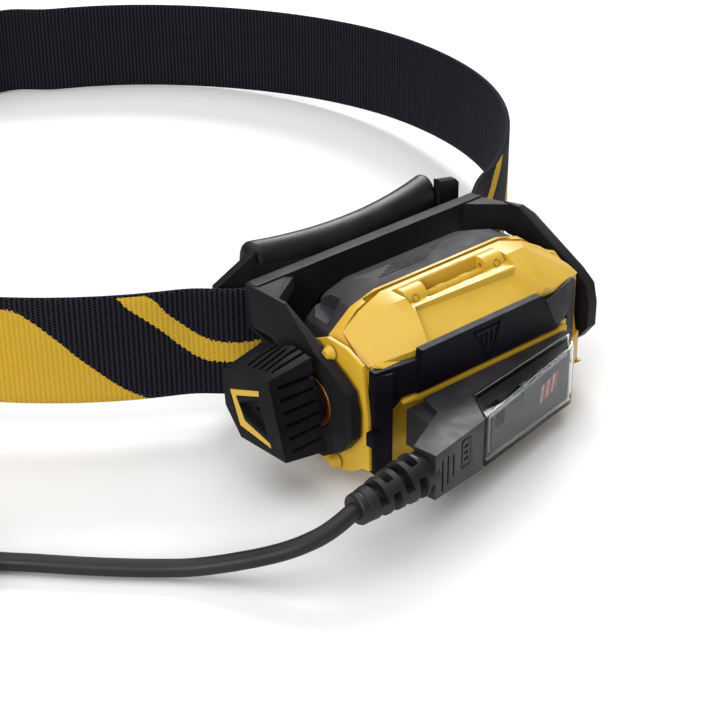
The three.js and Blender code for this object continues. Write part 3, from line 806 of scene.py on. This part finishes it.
def battery_cover(material):
    made = cover_shell()
    barrel = rod(2.75, (-14.6, BARREL_Y, BARREL_Z), (13, BARREL_Y, BARREL_Z), 48)
    slot_floor = box(-11.4, 9.6, -6.9, -2.1, 30.2, 32.4)
    combine(made, [barrel, slot_floor], "UNION")
    slot_bottom = across([(-7.7, 33.8), (-6.4, 31.9), (-3.8, 31.9)], -9.4, 8)
    slot = hull("slot", slot_bottom + across([(-3.5, 36.5), (-7.7, 36.5)], -8.8, 7.4))
    rings = [pin_head(x, 0.95, 2.25, 3.3) for x in (-12.4, 10.8)]
    pin_hole = rod(0.5, (5, -4.8, 33.6), (10.4, -4.8, 33.6), 20)
    combine(made, [slot, pin_hole] + rings)
    bar = rod(0.85, (-10, PIN_Y, PIN_Z), (8.6, PIN_Y, PIN_Z), 24)
    collars = [rod(1.02, (x, PIN_Y, PIN_Z), (x + 2.6, PIN_Y, PIN_Z), 24) for x in (-5.2, 1.6)]
    heads = [pin_head(x, 0.66, 1.9, 2.86) for x in (-12.4, 10.8)]
    combine(made, [bar] + collars + heads, "UNION")
    rounded(made, 0.3, 3, 22)
    put(made, "look_battery_cover", material, "battery_lid", "yellow_cover", "battery_cover")


# Front latch: a raised band, shoulders that turn back at both corners, a plain marked triangle, and a peg
LATCH_FACE = -17.3
LATCH_BACK = -15.95
LATCH_TRIANGLE = [(-7.5, 28.6), (1.2, 28.5), (-0.9, 20.9), (-1.8, 20.6), (-2.6, 21.3)]
LATCH_TRIANGLE_INSIDE = [(-6.2, 27.8), (0.5, 27.8), (-1.5, 22), (-2.1, 22.1)]


def latch_left():
    """The left shoulder and leg, the corner between them, and the peg."""
    shoulder_plan = [(-20.6, LATCH_FACE), (-31.6, -15.6), (-31.4, -13.6), (-20.6, LATCH_BACK)]
    leg_plan = [(-28.3, LATCH_FACE), (-31.8, -15.9), (-31.6, -14.1), (-28.3, LATCH_BACK)]
    corner = hull("corner", [
        (-28.6, -17.2, 18.6), (-26, LATCH_FACE, 20.4), (-28.6, LATCH_BACK, 18.6),
        (-26, LATCH_BACK, 20.4), (-28.6, -17.2, 20.8), (-28.6, LATCH_BACK, 20.8)])
    peg = box(-33.3, -31, -16.9, -15.0, 11.6, 14.6)
    return [upright("shoulder", shoulder_plan, 20.2, 27.6), upright("leg", leg_plan, 4.2, 27), corner, peg]


def latch_right():
    """The right shoulder, which follows the body's cut corner, and its short leg."""
    front = [
        (14.8, -17.55, 27.7), (18.5, -17.6, 20.2), (27, -13.9, 27.6), (28.5, -13.3, 26.2),
        (28.5, -13.3, 20.2)]
    shoulder = hull("shoulder", front + [(x - 0.6, y + 1.38, z) for x, y, z in front])
    leg_plan = [(24.4, -15.1), (28.5, -13.3), (27.9, -11.9), (23.8, -13.7)]
    return [shoulder, upright("leg", leg_plan, 13, 20.6)]


def latch_mark(i):
    """One of four plain ribs inside the triangle."""
    left = -4.6 + i * 1.4
    return box(left, left + 0.6, -18, -17.4, 23.6 + abs(i - 1.4) * 0.5, 27)


def front_latch(material):
    made = fronted("band", [(-22, 20.2), (-20.9, 29.6), (13.2, 29.6), (18.7, 20.2)], -17.7, LATCH_BACK)
    combine(made, latch_left() + latch_right(), "UNION")
    ring = prism("ring", LATCH_TRIANGLE, -18, -17.35, "Y")
    combine(ring, [prism("inner", LATCH_TRIANGLE_INSIDE, -19, -16, "Y")])
    combine(made, [ring] + [latch_mark(i) for i in range(4)])
    rounded(made, 0.3, 3, 22)
    put(made, "look_front_latch", material, "latch", "black_latch", "front_latch")


# Charging connector: grooves and a plain badge on its front, and a thin clear window over a dark core
NECK_MOUTH = -36.5
NECK_BOTTOM = -32.8


def front_line(x):
    """Y of the connector's front, which bends where the window starts."""
    return -35.1 + (x + 33.7) * 3.1 / 16.5 if x < -17.2 else -32 + (x + 17.2) * 8.2 / 34.6


def slanted(x0, x1, z0, z1, inward, outward=1.0):
    """A block along the connector's front."""
    ends = [(x, front_line(x) + d) for x in (x0, x1) for d in (-outward, inward)]
    return upright("slanted", ends, z0, z1)


def connector_badge():
    """A rounded ring."""
    badge = slanted(-25.3, -21.9, 11.2, 18, 0.35)
    rounded(badge, 0.9, 4, 24)
    core = slanted(-24.8, -22.4, 11.7, 17.5, 1.2, 2)
    rounded(core, 0.7, 4, 24)
    combine(badge, [core])
    return badge


def neck_room():
    """The recess around the boot's root, a little wider at its mouth."""
    points = []
    for x, grow in ((NECK_MOUTH, 0.2), (NECK_BOTTOM, 0)):
        front, top = -33.5 - grow, 17.7 + grow
        section = [
            (front, 11.2), (front, 17), (-32.8, top), (-28.6, top),
            (-27.4, 16.6), (-27.4, 10.9), (-28.6, 10.2), (-32.8, 10.2)]
        points += [(x, y, z) for y, z in section]
    return hull("room", points)


def connector_body(material):
    grooves = [(-31.6, 9.6, 16.6), (-29.8, 10.4, 16.8), (-28, 11.4, 16.2)]
    cuts = [slanted(x, x + 0.5, low, high, 0.5) for x, low, high in grooves]
    cuts += [connector_badge(), neck_room()]
    cuts += [slanted(-24.3, -22.9, z, z + 0.6, 0.3) for z in (12.9, 14.3, 15.7)]
    heel_plan = [(-24.6, -17.3), (-18, -17.3), (-18, -24), (-22.6, -26.4), (-24.6, -24)]
    made = from_cad("connector_body", cuts, [upright("heel", heel_plan, 9.2, 17.4)])
    rounded(made, 0.4, 3, 22)
    put(made, "look_connector_body", material, "charger", "connector_shell", "connector_body")


WINDOW_PLAN = [(-17.2, -32), (17.4, -23.8), (20.5, -19.4), (-12.1, -23.9)]
WINDOW_ROOM = [(-16, -31), (16.9, -23.2), (22.4, -16.2), (-10.6, -21)]
WINDOW_CORE = [(-15.7, -30.6), (16.7, -22.9), (19.2, -19.9), (-12.3, -24.3)]


def underside(x, extra=0):
    return 9.3 + extra - (x + 40) * 5 / 62


def shaped(name, plan, top, extra):
    """A block with a level top, above the connector's sloping underside."""
    return hull(name, [(x, y, z) for x, y in plan for z in (underside(x, extra), top)])


def behind_window(x0, x1, z0, z1, near, far, lean=0):
    """A block between two depths behind the window's front, its top shifted by lean."""
    points = []
    for z, shift in ((z0, 0), (z1, lean)):
        for x in (x0 + shift, x1 + shift):
            points += [(x, front_line(x) + near, z), (x, front_line(x) + far, z)]
    return hull("behind", points)


def window_shell(material):
    made = shaped("window", WINDOW_PLAN, 18.9, 0)
    combine(made, [shaped("room", WINDOW_ROOM, 18.3, 0.7)])
    combine(made, [behind_window(x, x + 1.8, 17.4, 18.4, 0.6, 1.3) for x in (4.2, -2, 12)], "UNION")
    rounded(made, 0.2, 2, 25)
    put(made, "look_connector_window", material, "charger", "clear_window", "connector_window")


def window_core(material):
    made = shaped("core", WINDOW_CORE, 17.6, 1.1)
    combine(made, [
        behind_window(-12.6, -9, 13.6, 18.2, 0, 3.4), behind_window(-7.6, -1.8, 16, 18.2, 0, 2.4),
        behind_window(-14.6, -13.6, 10.2, 17.2, 0, 1.7)])
    rounded(made, 0.25, 2, 25)
    put(made, "look_connector_core", material, "charger", "board", "connector_board")


def window_edge_highlight(material):
    """Painted highlight: pale strips behind the window, along its top, left and bottom, standing in for
    light caught on its edges.
    """
    near, far = 0.85, 1.35
    top = behind_window(-14.9, 15.2, 17.3, 17.75, near, far)
    left = behind_window(-15.1, -14.7, 9.6, 17.4, near, far)
    bottom = hull("line", [
        (x, front_line(x) + d, underside(x, extra))
        for x in (-14.8, 15.4) for d in (near, far) for extra in (1.2, 1.55)])
    combine(top, [left, bottom], "UNION")
    put(top, "look_window_lining", material, "charger", "indicator", "charge_indicator")


def indicator_bars(red, white):
    """Ten leaning bars, every third one white."""
    for i in range(10):
        x = 4.4 + i * 0.72
        low = 10.6 + i * 0.1
        bar = behind_window(x, x + 0.4, low, low + 3.8, 0.95, 1.35, lean=0.7)
        put(bar, f"look_indicator_bar_{i}", white if i % 3 == 1 else red, "charger", "indicator")


# Forehead pad: a thick, round-edged lip that follows the brow
PAD_SECTION = [
    (25.6, 28.2), (24.3, 29), (23.7, 30.6), (23.8, 33), (24.6, 35.1), (26.2, 36.4), (28.2, 36.9), (30, 36.3),
    (31, 34.6), (31.2, 32), (31.2, 22), (31.1, 12), (30.6, 7.5), (29.2, 5.6), (27.6, 5.4), (26.3, 6.4),
    (25.9, 9), (25.9, 18), (25.8, 26),
]
PAD_LEFT = -26.4
PAD_RIGHT = 27.4
PAD_STEPS = 56
BROW_RADIUS = 110


def pad_ring(body, x):
    """The pad's section at an X, smaller towards both ends and higher in front."""
    bend = BROW_RADIUS - math.sqrt(BROW_RADIUS ** 2 - x * x)
    rise = 1.1 * (x / 26) ** 2 - 1.1
    short = 1 - smooth(min(x - PAD_LEFT, PAD_RIGHT - x) / 2.2)
    ring = []
    for y, z in PAD_SECTION:
        y_in = 28 + (y - 28) * (1 - 0.5 * short ** 2)
        z_in = 21 + (z - 21) * (1 - 0.1 * short ** 2)
        if z > 28:
            z_in += rise * (1 - 0.4 * short)
        ring.append(body.verts.new(at(x, y_in + bend, z_in)))
    return ring


def forehead_pad(material):
    body = bmesh.new()
    width = PAD_RIGHT - PAD_LEFT
    join_rings(body, [pad_ring(body, PAD_LEFT + width * i / PAD_STEPS) for i in range(PAD_STEPS + 1)])
    made = to_object("pad", body)
    modifier = made.modifiers.new("smooth", "SUBSURF")
    modifier.levels = 2
    modifier.render_levels = 2
    made.data.shade_smooth()
    bake(made)
    put(made, "look_forehead_pad", material, "cradle", "pad_foam", "forehead_pad")


# Cradle: octagonal rim with broad corners, and the openings the strap shows through
GUSSET_LEFT = [
    (-22.3, 18.9, 33.2), (-33.6, 11.3, 33.2), (-23, 20.9, 33.9), (-34.5, 20.9, 33.9), (-34.5, 10.6, 33.9),
]
GUSSET_RIGHT = [
    (25.6, 20.6, 32.4), (34, 14.2, 32.4), (26, 20.9, 33.9), (34.5, 20.9, 33.9), (34.5, 13.6, 33.8),
]
ARCH = [(28.4, 8), (28.4, 25), (29.4, 27), (31.4, 27.8), (33.4, 27), (34.4, 25), (34.4, 8)]


def cradle_frame(material):
    gussets = []
    for corner in (GUSSET_LEFT, GUSSET_RIGHT):
        gussets.append(hull("gusset", corner + [(point[0], point[1], 30) for point in corner]))
    cuts = [
        upright("beyond", [(37.4, 2), (34.7, 13), (29.8, 22.6), (29.8, 25), (40, 25), (40, 2)], 21, 37),
        fronted("slant", [(-33.9, 34.4), (-36.2, 27), (-40, 27), (-40, 37), (-33.9, 37)], -2, 24),
        upright("back_corner", [(-36.2, 16), (-33.5, 22), (-40, 24), (-40, 16)], 21, 37),
        fronted("arch", ARCH, 10, 24),
    ]
    refined("cradle_frame", material, "cradle", "black_frame", 0.9, 4, cuts=cuts, adds=gussets)


def pad_shell(material):
    tip = hull("tip", [
        (26, 26.4, 29), (26, 28.2, 29), (26, 26.4, 36.4), (26, 28.2, 36.4), (34.8, 28.8, 25),
        (34.8, 30.5, 25), (34.8, 28.8, 32.9), (34.8, 30.5, 32.9), (33.4, 28.4, 34.2), (33.4, 30.1, 34.2)])
    brow = [(-26.6, 33.6), (-24.5, 32.8), (0, 30.4), (26.4, 29.4)]
    above = fronted("above", brow + [(-26.6, 40), (26.4, 40)], 18, 36)
    refined("pad_shell", material, "cradle", "black_frame", 0.5, 3, cuts=[above], adds=[tip])


# Lamp housing and side caps
def lamp_housing(material):
    """The housing with its front corners cut back, and the lip over the dock tapered at its left end."""
    left_plan = [(-32, -12.6), (-28.4, -15.7), (-28.4, -18), (-34, -18), (-34, -12.6)]
    right_plan = [(19.4, -15.8), (31.6, -10.9), (31.6, -18), (19.4, -18)]
    right_low_plan = [(23.6, -14.1), (31.6, -10.9), (31.6, -18), (23.6, -18)]
    cuts = [
        upright("edge", left_plan, -1, 29),
        upright("edge", right_plan, 19.6, 30),
        upright("edge", right_low_plan, 12.6, 20),
        fronted("lip", [(-26, 17.9), (-26, 19.15), (-19, 18.3), (-19, 17.9)], -21, -15.7),
    ]
    refined("lamp_housing", material, "lamp", "yellow_shell", 0.45, cuts=cuts)


def side_caps(material):
    detents = [rod(1.7, (-33, y, z), (-34.5, y, z), 28, 0.9) for y, z in ((-4.1, 28), (-5.6, 3.4))]
    refined("side_cap_left", material, "lamp", "yellow_shell", 0.4, adds=detents)
    front = [
        (-3.4, 28.2), (-7.9, 25.3), (-9, 20.9), (-10.8, 11.7), (-11.5, 9.1), (-11.8, 5),
        (-20, 5), (-20, 36), (8, 36), (8, 26)]
    beyond = prism("front", front, 31.2, 36, "X")
    refined("side_cap_right", material, "lamp", "yellow_shell", 0.3, cuts=[beyond])


# Assembly
MOULDED = {
    "yellow_plastic": dict(
        color=(0.56, 0.335, 0.022), worn=(0.61, 0.375, 0.03), rough=(0.34, 0.46), specular=0.4),
    "cover_plastic": dict(
        color=(0.57, 0.355, 0.03), worn=(0.62, 0.395, 0.04), rough=(0.33, 0.45), specular=0.45),
    "bezel_rubber": dict(
        color=(0.024, 0.022, 0.026), worn=(0.032, 0.03, 0.034), rough=(0.5, 0.62),
        grain=1800, strength=0.25, specular=0.13),
    "frame_black": dict(
        color=(0.01, 0.009, 0.0105), worn=(0.014, 0.013, 0.015), rough=(0.46, 0.52),
        strength=0.1, specular=0.1),
    "latch_black": dict(
        color=(0.0035, 0.0028, 0.005), worn=(0.006, 0.005, 0.009), rough=(0.4, 0.48),
        grain=3000, strength=0.3, specular=0.07),
    "knob_black": dict(
        color=(0.004, 0.0035, 0.0045), worn=(0.009, 0.008, 0.01), rough=(0.42, 0.55),
        strength=0.25, specular=0.08),
    "hub_black": dict(
        color=(0.01, 0.01, 0.011), worn=(0.016, 0.016, 0.018), rough=(0.4, 0.5), specular=0.3),
    "connector_black": dict(
        color=(0.011, 0.01, 0.012), worn=(0.024, 0.022, 0.026), rough=(0.42, 0.58),
        grain=2200, strength=0.7, specular=0.42),
    "cord_rubber": dict(
        color=(0.009, 0.008, 0.01), worn=(0.017, 0.015, 0.018), rough=(0.4, 0.52),
        grain=1500, strength=0.1, specular=0.28),
    "pad_black": dict(
        color=(0.006, 0.0052, 0.0068), worn=(0.012, 0.011, 0.014), rough=(0.36, 0.42),
        grain=1200, strength=0.06, specular=0.22),
    "window_core": dict(
        color=(0.01, 0.01, 0.0102), worn=(0.022, 0.022, 0.022), rough=(0.35, 0.5),
        grain=600, strength=0.3, specular=0.15),
    # Painted highlight for the window's edges
    "window_edge_highlight": dict(color=(0.13, 0.13, 0.135), worn=(0.2, 0.2, 0.21), rough=(0.3, 0.4)),
    "print_white": dict(color=(0.7, 0.7, 0.72), worn=(0.8, 0.8, 0.82), rough=(0.4, 0.5)),
    "board_green": dict(color=(0.012, 0.07, 0.03), worn=(0.02, 0.1, 0.045), rough=(0.25, 0.4)),
    "led_yellow": dict(color=(0.8, 0.6, 0.1), worn=(0.9, 0.7, 0.2), rough=(0.2, 0.3)),
    "cell_wrap": dict(color=(0.02, 0.06, 0.2), worn=(0.03, 0.08, 0.25), rough=(0.25, 0.35)),
    "inner_black": dict(color=(0.01, 0.01, 0.01), worn=(0.015, 0.015, 0.015), rough=(0.5, 0.6)),
    "indicator_red": dict(color=(0.45, 0.015, 0.025), worn=(0.6, 0.04, 0.05), rough=(0.25, 0.35)),
    "tie_cloth": dict(
        color=(0.006, 0.006, 0.007), worn=(0.014, 0.014, 0.015), rough=(0.8, 0.9),
        grain=3000, strength=0.8),
}
METAL = {
    "steel": ((0.55, 0.55, 0.57), 0.28),
    "bush_bronze": ((0.55, 0.2, 0.05), 0.35),
    "brass_contact": ((0.75, 0.52, 0.2), 0.25),
    "reflector_chrome": ((0.85, 0.85, 0.86), 0.08),
}
# CAD nodes that are shown as they are, by their look
SHOWN_AS_BUILT = {
    "lens_plastic": ["lens"],
    "reflector_chrome": ["reflector"],
    "board_green": ["led_board", "control_board", "battery_board"],
    "led_yellow": ["led_flood", "led_spot"],
    "steel": ["heat_sink", "switch_shaft"],
    "inner_black": ["battery_tray"],
    "cell_wrap": ["battery_cell_left", "battery_cell_right"],
    "brass_contact": [
        "battery_contact_left", "battery_contact_right", "charge_pad_left", "charge_pad_right",
        "contact_pin_left", "contact_pin_right"],
    "yellow_plastic": ["hinge_pin"],
}


def materials():
    looks = {name: moulded(name, **values) for name, values in MOULDED.items()}
    for name, (color, rough) in METAL.items():
        looks[name] = metal(name, color, rough)
    looks["window_plastic"] = clear_plastic("window_plastic", (0.9, 0.92, 0.93), 0.02, 1.16)
    looks["lens_plastic"] = clear_plastic("lens_plastic", (0.95, 0.97, 1), 0.02)
    looks["webbing"] = woven("webbing")
    return looks


def charger(looks):
    cord = charging_lead(looks["cord_rubber"])
    strain_relief(looks["cord_rubber"])
    refined("coil_tie", looks["tie_cloth"], "charger", "tie", 0.2, 2)
    refined("plug_grip", looks["cord_rubber"], "charger", "cord_jacket", 0.8, 4)
    refined("plug_shell", looks["steel"], "charger", "metal", 0.1, 2)
    refined("plug_tongue", looks["inner_black"], "charger", "inner_black", 0.2, 2)
    connector_body(looks["connector_black"])
    window_shell(looks["window_plastic"])
    window_core(looks["window_core"])
    # Pale strips: painted highlight on the window's edges
    window_edge_highlight(looks["window_edge_highlight"])
    indicator_bars(looks["indicator_red"], looks["print_white"])


def cradle(looks):
    headband(looks["webbing"])
    cradle_frame(looks["frame_black"])
    pad_shell(looks["frame_black"])
    forehead_pad(looks["pad_black"])
    refined("strap_adjuster", looks["frame_black"], "adjuster", "buckle", 0.4)


def lamp(looks):
    mode_knob(looks["knob_black"])
    knob_strip(looks["cover_plastic"])
    bezel(looks["bezel_rubber"])
    lamp_housing(looks["yellow_plastic"])
    side_caps(looks["yellow_plastic"])
    battery_cover(looks["cover_plastic"])
    front_latch(looks["latch_black"])
    refined("pivot_cap_right", looks["hub_black"], "lamp", "dark_hub", 0.3)
    for side in ("left", "right"):
        refined("pivot_stub_" + side, looks["hub_black"], "lamp", "dark_hub", 0.2, 2)
        refined("pivot_bush_" + side, looks["bush_bronze"], "cradle", "metal", 0.15, 2)


def nodes_as_built(looks):
    for name, nodes in SHOWN_AS_BUILT.items():
        for node in nodes:
            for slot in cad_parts[node].material_slots:
                slot.link = "OBJECT"
                slot.material = looks[name]


# Floor and lights, in metres
FLOOR_HALF = 3
FLOOR_GAP = 0.0002
LIGHTS_AIM = Vector((0, -0.09, 0.02))
# Each light's place, size and power in watts
LIGHTS = {
    "top": ((-0.1, -0.05, 0.95), (1.3, 1.1), 9.2),
    "left": ((-0.85, -0.42, 0.4), (0.5, 0.3), 5.4),
    "rim": ((0.55, 0.35, 0.5), (0.4, 0.25), 5.5),
}
WORLD_STRENGTH = 0.28


def add_floor():
    body = bmesh.new()
    bmesh.ops.create_grid(body, x_segments=2, y_segments=2, size=FLOOR_HALF)
    mesh = bpy.data.meshes.new("floor")
    body.to_mesh(mesh)
    body.free()
    floor = bpy.data.objects.new("floor", mesh)
    floor.location = (0, 0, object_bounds()[0][2] - FLOOR_GAP)
    bpy.context.collection.objects.link(floor)
    material, _, shader = nodes_of("floor")
    shader.inputs["Base Color"].default_value = (0.78, 0.78, 0.78, 1)
    shader.inputs["Roughness"].default_value = 0.9
    mesh.materials.append(material)


def add_light(name, spot, size, power):
    data = bpy.data.lights.new(name, "AREA")
    data.shape = "RECTANGLE"
    data.size, data.size_y = size
    data.energy = power
    light = bpy.data.objects.new(name, data)
    light.location = spot
    aim = LIGHTS_AIM - Vector(spot)
    light.rotation_euler = aim.to_track_quat("-Z", "Y").to_euler()
    bpy.context.collection.objects.link(light)


def add_world():
    bpy.context.scene.view_settings.view_transform = "Standard"
    world = bpy.data.worlds.new("world")
    bpy.context.scene.world = world
    world.use_nodes = True
    background = world.node_tree.nodes["Background"]
    background.inputs["Color"].default_value = (1, 1, 1, 1)
    background.inputs["Strength"].default_value = WORLD_STRENGTH


add_camera()
looks = materials()
charger(looks)
cradle(looks)
lamp(looks)
nodes_as_built(looks)
add_floor()
for name, (spot, size, power) in LIGHTS.items():
    add_light(name, spot, size, power)
add_world()
